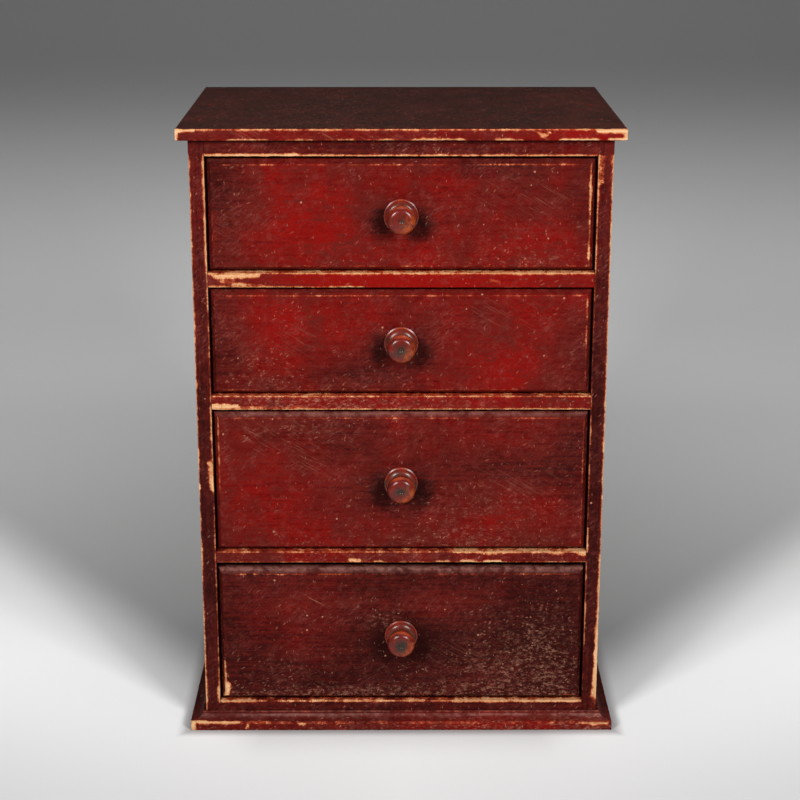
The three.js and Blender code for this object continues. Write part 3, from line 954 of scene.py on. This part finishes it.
class CHEST_OT_top(bpy.types.Operator):
    """Works the overhanging top board"""

    bl_idname = "chest.top"
    bl_label = "Top board"

    def execute(self, context):
        sizes = context.scene.chest_sizes
        hues = context.scene.chest_colours
        look = ("x", hues.top_red, hues.top_brown, TOP_ROUGHNESS, TOP_SPECULAR)
        brown = material("worn_top_lacquer", lacquer, *look)
        steps = (sizes.fine_step, sizes.broad_step, sizes.fine_step)
        piece = lacquered_board(
            "top_board", red_lacquer("x"), steps, wear=-0.1, choose=lambda edge: True
        )
        piece.data.materials.append(brown)
        for face in piece.data.polygons:
            face.material_index = 1 if face.normal.z > 0.9 else 0
        return {"FINISHED"}


class CHEST_OT_rails(bpy.types.Operator):
    """Works the rails between the drawers"""

    bl_idname = "chest.rails"
    bl_label = "Rails"

    def execute(self, context):
        sizes = context.scene.chest_sizes
        steps = (sizes.fine_step, 0, sizes.fine_step)
        for node in RAILS:
            low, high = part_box(node)
            lacquered_board(
                node,
                red_lacquer("x"),
                steps,
                wear=-0.3,
                choose=lambda edge: on_two_faces(edge, low, high),
                shoulder=SIDE_INSIDE - MM,
            )
        return {"FINISHED"}


# Heights of the cuts along the base mouldings in millimetres, closer together at the ledge.
MOULDING_CUTS = (1.5, 3, 4.2, 5.4, 6.4, 8, 8.4, 8.8, 9.6, 10.4)


class CHEST_OT_mouldings(bpy.types.Operator):
    """Works the base mouldings round the foot"""

    bl_idname = "chest.mouldings"
    bl_label = "Base mouldings"

    def execute(self, context):
        sizes = context.scene.chest_sizes
        for node in MOULDINGS:
            low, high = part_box(node)
            grain = grain_of(node)
            steps = [0, 0, 0]
            steps["xyz".index(grain)] = sizes.fine_step
            least = max(high - low) / 2
            lacquered_board(
                node,
                red_lacquer(grain),
                steps,
                wear=0.0,
                choose=lambda edge: edge.calc_length() > least,
                extra_cuts=[(2, [height * MM for height in MOULDING_CUTS])],
            )
        return {"FINISHED"}


class CHEST_OT_back(bpy.types.Operator):
    """Works the back boards and the bare pieces inside the case"""

    bl_idname = "chest.back"
    bl_label = "Back and inside"

    def execute(self, context):
        for node in BODIES["carcass"]:
            if SLOT_OF[node] == "bare_pine":
                ageing = 0.6 if node.startswith("back") else 0.3
                bare_board(node, bare_pine(grain_of(node), ageing))
            if SLOT_OF[node] == "nail_iron":
                bm = merged(node)
                ease(bm, sharp_edges(bm, 0), NAIL_ARRIS)
                keep(bm, node, material("rusted_nail_iron", nail_iron))
        return {"FINISHED"}


# How wide a drawer front's chamfer is, and how deep behind the face its outer corners are worked.
CHAMFER_WIDTH = 3 * MM
SHOULDER_DEPTH = 5 * MM


class CHEST_OT_drawer_fronts(bpy.types.Operator):
    """Works the bevelled drawer fronts"""

    bl_idname = "chest.drawer_fronts"
    bl_label = "Drawer fronts"

    def execute(self, context):
        sizes = context.scene.chest_sizes
        steps = (sizes.face_step, 0, sizes.face_step)
        for body in DRAWERS:
            node = body + "_front"
            low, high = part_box(node)
            shoulder = low.y + SHOULDER_DEPTH
            strip = CHAMFER_WIDTH + sizes.edge_strip
            strips = [(axis, [low[axis] + strip, high[axis] - strip]) for axis in (0, 2)]
            lacquered_board(
                node,
                red_lacquer("x"),
                steps,
                wear=-0.35,
                choose=lambda edge: max(vert.co.y for vert in edge.verts) < shoulder,
                extra_cuts=strips,
            )
        return {"FINISHED"}


class CHEST_OT_drawer_boxes(bpy.types.Operator):
    """Works the dovetailed drawer sides, the backs and the bottoms"""

    bl_idname = "chest.drawer_boxes"
    bl_label = "Drawer boxes"

    def execute(self, context):
        for body in DRAWERS:
            for part in ("side_left", "side_right", "back", "bottom"):
                node = f"{body}_{part}"
                bare_board(node, bare_pine(grain_of(node)))
        return {"FINISHED"}


class CHEST_OT_knobs(bpy.types.Operator):
    """Turns the knobs"""

    bl_idname = "chest.knobs"
    bl_label = "Knobs"

    def execute(self, context):
        for place, body in enumerate(DRAWERS):
            turn_knob(body + "_knob", 0.1 + 0.3 * place)
        return {"FINISHED"}


def arc(centre, radii, start, end, count):
    """Points on an elliptic arc, as radius and reach. Angles in degrees from straight out."""
    points = []
    for i in range(count + 1):
        angle = math.radians(start + (end - start) * i / count)
        points.append((centre[0] + radii[0] * math.cos(angle), centre[1] + radii[1] * math.sin(angle)))
    return points


def knob_profile(flange, reach, spigot_end):
    """Half section of a knob from the spigot's end to the dimple in its face, as radius and reach."""
    lip = bpy.context.scene.chest_sizes.flange_lip
    neck = 0.49 * flange
    head = 0.828 * flange
    seat = 0.3 * MM
    spigot = 3.6 * MM
    dome = (flange - neck - 1.2 * MM, 0.19 * reach)
    under = (2.6 * MM, 2.2 * MM)
    crown = (4.4 * MM, 0.222 * reach)
    dimple = (1.7 * MM, -0.7 * MM)
    profile = [(0, -spigot_end), (spigot, -spigot_end), (spigot, seat)]
    profile += arc((flange - lip, seat + lip), (lip, lip), -90, 20, 6)
    profile += arc((neck + 0.4 * MM, seat + lip), dome, 12, 76, 9)
    profile += [(neck, 0.42 * reach), (neck + 0.3 * MM, 0.52 * reach)]
    profile += arc((head - under[0], 0.6 * reach + under[1]), under, -72, 0, 6)
    profile += arc((head - crown[0], 0.77 * reach), crown, 0, 80, 10)
    profile += arc((0, reach), dimple, 0, 90, 5)
    return profile


def turn_knob(node, soil):
    """Spins the knob's half section about the middle of the knob. Soil darkens its face."""
    sizes = bpy.context.scene.chest_sizes
    low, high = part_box(node)
    middle = (low + high) / 2
    reach = CASE_FRONT - low.y
    bm = bmesh.new()
    outline = [
        bm.verts.new((middle.x + radius, CASE_FRONT - out, middle.z))
        for radius, out in knob_profile((high.x - low.x) / 2, reach, high.y - CASE_FRONT)
    ]
    edges = [bm.edges.new(pair) for pair in zip(outline, outline[1:])]
    bmesh.ops.spin(
        bm,
        geom=outline + edges,
        cent=(middle.x, CASE_FRONT, middle.z),
        axis=(0, 1, 0),
        angle=2 * math.pi,
        steps=sizes.knob_steps,
        use_merge=True,
    )
    bmesh.ops.remove_doubles(bm, verts=bm.verts, dist=WELD)
    bmesh.ops.recalc_face_normals(bm, faces=bm.faces)
    points = np.array([vert.co for vert in bm.verts])
    layers = knob_layers(points, middle, soil)
    keep(bm, node, material("knob_varnish", knob_varnish), layers)


# Where the parts of a knob lie, as radius and reach in millimetres.
FLANGE_RIM = (10.6, 1.8)
HEAD_RIM = (8.7, 16.4)
NECK_MIDDLE = 7.5
HEAD_START = 9.5
FACE_START = 14


def knob_layers(points, middle, soil):
    """Wear on a knob: rubbed rims, a neck of dirt and painted shade, a dirty eye, varnish worn thin low
    right.
    """
    radius = np.hypot(points[:, 0] - middle.x, points[:, 2] - middle.z) / MM
    out = (CASE_FRONT - points[:, 1]) / MM
    aside = (points[:, 0] - middle.x) / MM
    upward = (points[:, 2] - middle.z) / MM
    head = out > HEAD_START
    on_face = out > FACE_START

    off_flange = np.abs(radius - FLANGE_RIM[0]) + np.abs(out - FLANGE_RIM[1])
    off_head = np.hypot(radius - HEAD_RIM[0], out - HEAD_RIM[1])
    # Painted light: the rims are drawn more worn towards the top, where the light catches them, as well
    # as rubbed.
    rub = np.maximum(0.09 * upward - 0.45 - off_flange, 0.12 * upward - 0.2 - off_head * 0.6)
    # Dirt and painted shade in the turned neck between flange and head.
    hollow = np.exp(-(((out - NECK_MIDDLE) / 3.2) ** 2))
    face = np.exp(-((radius / 5.6) ** 4)) * on_face
    eye = np.exp(-((radius / 1.6) ** 2)) * on_face
    # The small rise with height is painted light, a little lighter towards the top.
    tone = 0.3 - 1.1 * hollow - soil * face - 0.8 * eye + 0.02 * upward
    glow = head * (0.2 + 0.08 * aside - 0.06 * upward).clip(0, 0.85)
    return {"rub": rub, "tone": tone, "polish": head * 1.0, "glow": glow}


class CHEST_OT_stage(bpy.types.Operator):
    """Sets the floor, the backdrop, the lights and the camera"""

    bl_idname = "chest.stage"
    bl_label = "Stage"

    def execute(self, context):
        studio_sweep()
        studio_lights()
        studio_camera()
        return {"FINISHED"}


def sweep_paint(name):
    """Pale paper with painted light: a pool of light in front, shade behind and a contact shadow at the
    foot.
    """
    hues = bpy.context.scene.chest_colours
    paint = Paint(name)
    apart, back, up = (
        paint.node("ShaderNodeSeparateXYZ", {}, {0: paint.place}, axis) for axis in "XYZ"
    )
    aside = paint.math("ABSOLUTE", apart)
    # Painted pool of light on the paper in front of and beside the chest.
    painted_light_pool = paint.larger(
        paint.step(aside * 1.42 - back, 0.16, 0.3), paint.step(0 - back, 0.04, 0.15)
    )
    # Painted shade on the paper just behind the chest and up its curve.
    behind = paint.step(back + aside * 0.6, 0.05, 1.05)
    grey = paint.blend(behind, hues.far_floor_painted_shade, hues.floor)
    grey = paint.blend(paint.step(up, -0.06, 0.33), grey, hues.wall_painted_shade)
    # Painted shade on the paper towards the camera.
    near = paint.step(aside * 0.25 - back, 0.03, 0.33)
    white = paint.blend(near, hues.floor, hues.near_floor_painted_shade)
    fibre = paint.noise(0.004, 3.0)
    base = paint.blend(painted_light_pool, grey, white)
    # Painted contact shadow: the paper is drawn darker close round the chest's foot.
    past_ends = paint.larger(0 - back + MOULDING_FRONT, back + -CAD_BOX[1].y)
    past_foot = paint.larger(aside + -CAD_BOX[1].x, past_ends)
    painted_contact_shadow = 1 - paint.step(past_foot, 0.0, CONTACT_SHADOW_REACH)
    base = paint.blend(painted_contact_shadow * 0.6, base, hues.shadow)
    return paint.finish(base, 0.7 + fibre * 0.1, fibre, PAPER_RELIEF, specular=0.1)


def studio_sweep():
    """A sheet of paper that lies under the chest and curves up behind it."""
    bm = bmesh.new()
    width = 7.0
    ahead = 3.0
    behind = 1.35
    rise = 3.0
    bend = 0.7
    near = [bm.verts.new((side * width / 2, -ahead, 0)) for side in (-1, 1)]
    strip = [bm.edges.new(near)]
    for move in ((0, ahead + behind, 0), (0, 0.001, rise)):
        grown = bmesh.ops.extrude_edge_only(bm, edges=strip)["geom"]
        bmesh.ops.translate(bm, vec=move, verts=[v for v in grown if isinstance(v, bmesh.types.BMVert)])
        strip = [e for e in grown if isinstance(e, bmesh.types.BMEdge)]
    fold = [edge for edge in bm.edges if len(edge.link_faces) == 2]
    bmesh.ops.bevel(
        bm,
        geom=fold,
        offset=bend,
        offset_type="OFFSET",
        segments=24,
        profile=0.5,
        affect="EDGES",
        material=-1,
    )
    bmesh.ops.recalc_face_normals(bm, faces=bm.faces)
    for face in bm.faces:
        face.smooth = True
    mesh = bpy.data.meshes.new("studio_sweep")
    bm.to_mesh(mesh)
    bm.free()
    mesh.materials.append(material("studio_paper", sweep_paint))
    sweep = bpy.data.objects.new("studio_sweep", mesh)
    bpy.context.scene.collection.objects.link(sweep)


def softbox(name, place, target, size, power):
    """A rectangular area light aimed at a point."""
    light = bpy.data.lights.new(name, "AREA")
    light.shape = "RECTANGLE"
    light.size = size[0]
    light.size_y = size[1]
    light.energy = power
    holder = bpy.data.objects.new(name, light)
    aim = (Vector(target) - Vector(place)).to_track_quat("-Z", "Y")
    holder.matrix_world = Matrix.Translation(place) @ aim.to_matrix().to_4x4()
    bpy.context.scene.collection.objects.link(holder)


def studio_lights():
    """Two softboxes in front, one wide light overhead and a dim room."""
    studio = bpy.context.scene.chest_studio
    heart = (0, 0, 0.3)
    front_size = (0.36, 0.36)
    overhead_size = (1.2, 1.0)
    for name, side in (("softbox_left", -1), ("softbox_right", 1)):
        softbox(name, (side * 0.72, -1.2, 0.86), heart, front_size, studio.box_power)
    softbox("overhead", (0, 0.1, 1.9), heart, overhead_size, studio.sky_power)
    world = bpy.data.worlds.new("studio_room")
    world.use_nodes = True
    world.node_tree.nodes["Background"].inputs["Strength"].default_value = studio.fill
    world.node_tree.nodes["Background"].inputs["Color"].default_value = (1, 1, 1, 1)
    bpy.context.scene.world = world
    bpy.context.scene.view_settings.view_transform = "Standard"


def studio_camera():
    """The camera, level and a little above the chest."""
    studio = bpy.context.scene.chest_studio
    camera = bpy.data.cameras.new("studio_camera")
    camera.lens = studio.lens
    camera.dof.use_dof = False
    holder = bpy.data.objects.new("studio_camera", camera)
    holder.rotation_euler = (math.pi / 2 - studio.pitch, 0, -studio.yaw)
    holder.location = studio.eye
    bpy.context.scene.collection.objects.link(holder)
    bpy.context.scene.camera = holder


class CHEST_PT_panel(bpy.types.Panel):
    """Lists the pieces of the chest and its settings"""

    bl_idname = "CHEST_PT_panel"
    bl_label = "Miniature chest"
    bl_space_type = "VIEW_3D"
    bl_region_type = "UI"
    bl_category = "Chest"

    def draw(self, context):
        for operator in OPERATORS:
            self.layout.operator(operator.bl_idname)
        for name, group in GROUPS.items():
            box = self.layout.box()
            for setting in group.__annotations__:
                box.prop(getattr(context.scene, name), setting)


GROUPS = {
    "chest_sizes": ChestSizes,
    "chest_colours": ChestColours,
    "chest_studio": ChestStudio,
}
OPERATORS = [
    CHEST_OT_stage,
    CHEST_OT_sides,
    CHEST_OT_top,
    CHEST_OT_rails,
    CHEST_OT_mouldings,
    CHEST_OT_back,
    CHEST_OT_drawer_fronts,
    CHEST_OT_drawer_boxes,
    CHEST_OT_knobs,
]


def register():
    for cls in (*GROUPS.values(), *OPERATORS, CHEST_PT_panel):
        bpy.utils.register_class(cls)
    for name, group in GROUPS.items():
        setattr(bpy.types.Scene, name, bpy.props.PointerProperty(type=group))


def unregister():
    for name in GROUPS:
        delattr(bpy.types.Scene, name)
    for cls in (CHEST_PT_panel, *reversed(OPERATORS), *reversed(list(GROUPS.values()))):
        bpy.utils.unregister_class(cls)


def main():
    register()
    for operator in OPERATORS:
        group, name = operator.bl_idname.split(".")
        getattr(getattr(bpy.ops, group), name)()


if __name__ == "__main__":
    main()
